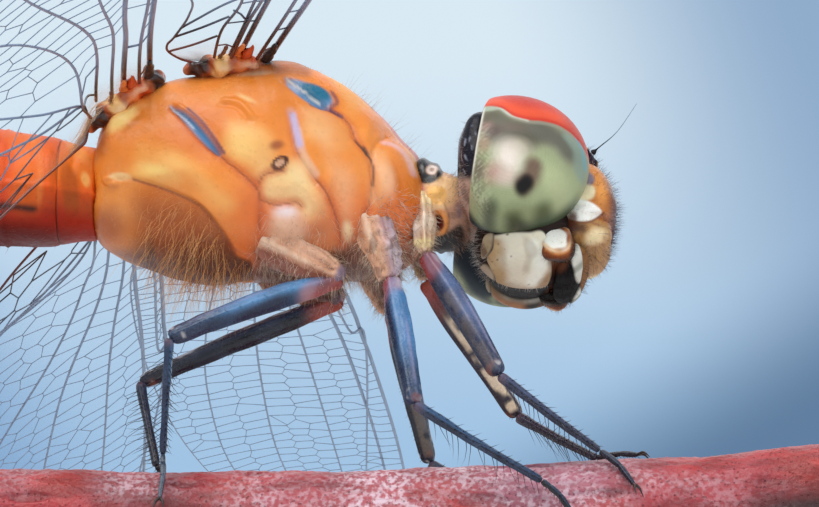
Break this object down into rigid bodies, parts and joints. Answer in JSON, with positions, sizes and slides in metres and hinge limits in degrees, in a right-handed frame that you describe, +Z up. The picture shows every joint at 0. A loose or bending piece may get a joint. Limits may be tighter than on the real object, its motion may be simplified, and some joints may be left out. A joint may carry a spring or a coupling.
{
  "type": "dragonfly on a twig perch",
  "caption": "Life-size orange skimmer dragonfly with clear veined wings, gripping a cut length of red twig on a flat display stand.",
  "frame": {"origin": "centre of the underside of the display base", "axes": "+X the way the insect faces, +Y to its left along the wings, +Z up"},
  "size_m": [0.0684, 0.0701, 0.0477],
  "materials": {
    "amber_shell": "waxy amber-orange cuticle with fine hair",
    "red_shell": "satin orange-red cuticle",
    "eye": "faceted compound eye, red over grey-green",
    "black_shell": "glossy black cuticle",
    "face": "orange-brown face, hairy",
    "ivory": "ivory mouthparts",
    "leg": "blue-black waxy legs, orange at the base",
    "wing": "clear wing membrane with brown-black veins",
    "bark": "weathered red bark",
    "base": "plain pale display base",
    "rod": "brushed steel rod"
  },
  "bodies": {
    "root": {"abdomen_1": "red_shell", "abdomen_10": "red_shell", "abdomen_2": "red_shell", "abdomen_3": "red_shell", "abdomen_4": "red_shell", "abdomen_5": "red_shell", "abdomen_6": "red_shell", "abdomen_7": "red_shell", "abdomen_8": "red_shell", "abdomen_9": "red_shell", "antenna_left": "black_shell", "antenna_right": "black_shell", "cercus_left": "red_shell", "cercus_right": "red_shell", "epiproct": "red_shell", "eye_left": "eye", "eye_right": "eye", "face": "face", "fore_coxa_left": "amber_shell", "fore_coxa_right": "amber_shell", "fore_femur_left": "leg", "fore_femur_right": "leg", "fore_tarsus_left": "leg", "fore_tarsus_right": "leg", "fore_tibia_left": "leg", "fore_tibia_right": "leg", "forewing_left": "wing", "forewing_right": "wing", "head": "black_shell", "hind_coxa_left": "amber_shell", "hind_coxa_right": "amber_shell", "hind_femur_left": "leg", "hind_femur_right": "leg", "hind_tarsus_left": "leg", "hind_tarsus_right": "leg", "hind_tibia_left": "leg", "hind_tibia_right": "leg", "hindwing_left": "wing", "hindwing_right": "wing", "labium": "ivory", "labrum": "black_shell", "mandible_left": "ivory", "mandible_right": "ivory", "mid_coxa_left": "amber_shell", "mid_coxa_right": "amber_shell", "mid_femur_left": "leg", "mid_femur_right": "leg", "mid_tarsus_left": "leg", "mid_tarsus_right": "leg", "mid_tibia_left": "leg", "mid_tibia_right": "leg", "neck": "ivory", "perch": "bark", "prothorax": "amber_shell", "stand_base": "base", "stand_rod_front": "rod", "stand_rod_rear": "rod", "thorax": "amber_shell", "vertex": "black_shell"}
  },
  "joints": []
}
